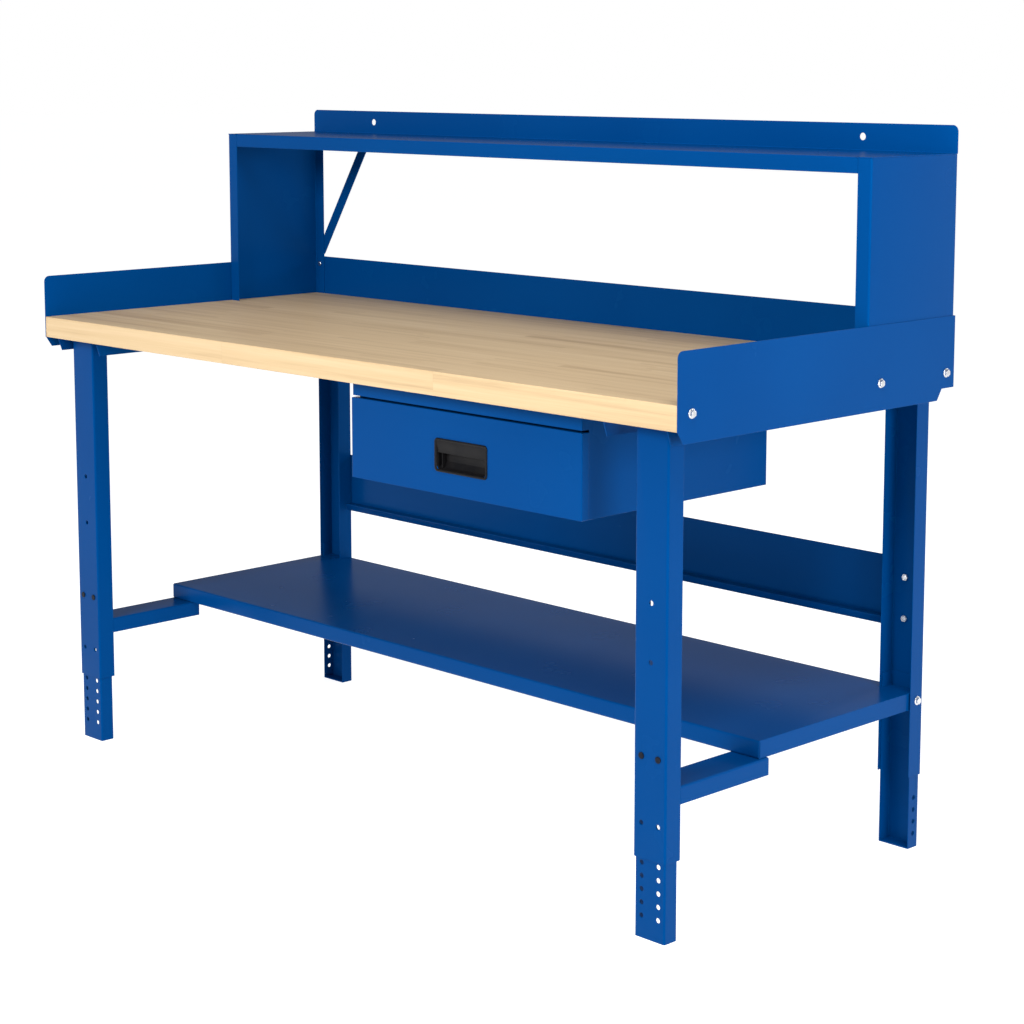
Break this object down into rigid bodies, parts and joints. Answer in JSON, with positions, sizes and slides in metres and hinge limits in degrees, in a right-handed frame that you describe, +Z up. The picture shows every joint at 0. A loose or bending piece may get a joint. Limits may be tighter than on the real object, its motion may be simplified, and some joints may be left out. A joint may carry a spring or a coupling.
{
  "type": "workbench",
  "caption": "Steel workbench with a wooden top, end and back stops, a riser shelf, a drawer, a half-depth lower shelf and height-adjustable channel legs.",
  "frame": {"origin": "on the floor, under the middle of the whole bench", "axes": "+X along the bench to its right end as seen from the front, +Y from front to back, +Z up"},
  "size_m": [1.8438, 0.7694, 1.369],
  "materials": {
    "maple": "oiled edge-grain planks",
    "blue_paint": "gloss powder coat",
    "zinc": "bright zinc plate",
    "dark_steel": "black oxide",
    "slide_steel": "rolled and plated",
    "handle_plastic": "moulded, fine texture"
  },
  "bodies": {
    "bench": {"worktop": "maple", "end_stop_left": "blue_paint", "end_stop_right": "blue_paint", "back_stop": "blue_paint", "riser_side_left": "blue_paint", "riser_side_right": "blue_paint", "riser_shelf": "blue_paint", "riser_brace_left": "blue_paint", "riser_brace_right": "blue_paint", "upper_leg_front_left": "blue_paint", "upper_leg_front_right": "blue_paint", "upper_leg_rear_left": "blue_paint", "upper_leg_rear_right": "blue_paint", "top_rail_left": "blue_paint", "top_rail_right": "blue_paint", "cross_rail_left": "blue_paint", "cross_rail_right": "blue_paint", "lower_shelf": "blue_paint", "stringer": "blue_paint", "drawer_housing": "blue_paint", "slide_outer_left": "slide_steel", "slide_outer_right": "slide_steel", "end_stop_screws": "zinc", "back_stop_screws": "zinc", "riser_bolts": "zinc", "riser_nuts": "zinc", "leg_bolts": "dark_steel", "leg_nuts": "zinc", "stringer_bolts": "zinc", "stringer_nuts": "zinc", "shelf_bolts": "zinc", "shelf_nuts": "zinc", "rail_screws": "zinc", "housing_screws": "zinc"},
    "drawer": {"drawer_tray": "blue_paint", "drawer_front": "blue_paint", "drawer_handle": "handle_plastic", "slide_inner_left": "slide_steel", "slide_inner_right": "slide_steel", "drawer_front_screws": "zinc"},
    "slide_middle_left": {"slide_middle_left": "slide_steel"},
    "slide_middle_right": {"slide_middle_right": "slide_steel"},
    "lower_leg_front_left": {"lower_leg_front_left": "blue_paint"},
    "lower_leg_front_right": {"lower_leg_front_right": "blue_paint"},
    "lower_leg_rear_left": {"lower_leg_rear_left": "blue_paint"},
    "lower_leg_rear_right": {"lower_leg_rear_right": "blue_paint"}
  },
  "joints": [
    {"name": "drawer_slide", "type": "slide", "parent": "bench", "child": "drawer", "axis": [0, -1, 0], "range_m": [0, 0.4]},
    {"name": "slide_middle_left_slide", "type": "slide", "parent": "bench", "child": "slide_middle_left", "axis": [0, -1, 0], "range_m": [0, 0.2]},
    {"name": "slide_middle_right_slide", "type": "slide", "parent": "bench", "child": "slide_middle_right", "axis": [0, -1, 0], "range_m": [0, 0.2]},
    {"name": "lower_leg_front_left_slide", "type": "slide", "parent": "bench", "child": "lower_leg_front_left", "axis": [0, 0, 1], "range_m": [0, 0.094]},
    {"name": "lower_leg_front_right_slide", "type": "slide", "parent": "bench", "child": "lower_leg_front_right", "axis": [0, 0, 1], "range_m": [0, 0.094]},
    {"name": "lower_leg_rear_left_slide", "type": "slide", "parent": "bench", "child": "lower_leg_rear_left", "axis": [0, 0, 1], "range_m": [0, 0.094]},
    {"name": "lower_leg_rear_right_slide", "type": "slide", "parent": "bench", "child": "lower_leg_rear_right", "axis": [0, 0, 1], "range_m": [0, 0.094]}
  ],
  "couplings": [
    {"joint": "slide_middle_left_slide", "follows": "drawer_slide", "ratio": 0.5},
    {"joint": "slide_middle_right_slide", "follows": "drawer_slide", "ratio": 0.5}
  ]
}
